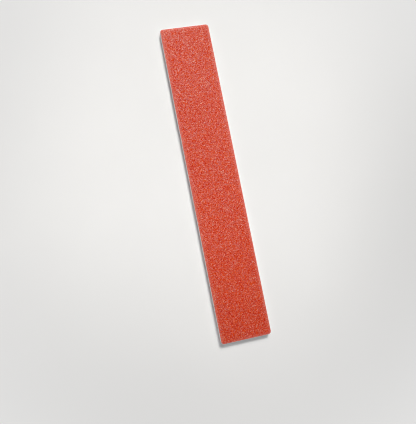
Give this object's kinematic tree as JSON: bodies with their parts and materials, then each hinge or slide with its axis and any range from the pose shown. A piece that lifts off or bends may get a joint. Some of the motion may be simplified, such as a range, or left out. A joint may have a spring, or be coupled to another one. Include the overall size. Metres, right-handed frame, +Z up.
{
  "type": "nail buffer",
  "caption": "Straight laminated nail buffer board with a coarse abrasive face on each side, foam pads under both faces and a stiff core.",
  "frame": {"origin": "centre of the underside, where the board lies on a table", "axes": "+X along the length, +Y across the width, +Z up through the thickness"},
  "size_m": [0.178, 0.028, 0.0041],
  "materials": {
    "grit_coat": "matte",
    "backing_paper": "matte",
    "outer_adhesive": "satin",
    "foam": "matte",
    "inner_adhesive": "satin",
    "core": "satin"
  },
  "bodies": {
    "root": {"grit_coat_top": "grit_coat", "backing_paper_top": "backing_paper", "outer_adhesive_top": "outer_adhesive", "foam_pad_top": "foam", "inner_adhesive_top": "inner_adhesive", "core_sheet": "core", "inner_adhesive_bottom": "inner_adhesive", "foam_pad_bottom": "foam", "outer_adhesive_bottom": "outer_adhesive", "backing_paper_bottom": "backing_paper", "grit_coat_bottom": "grit_coat"}
  },
  "joints": []
}
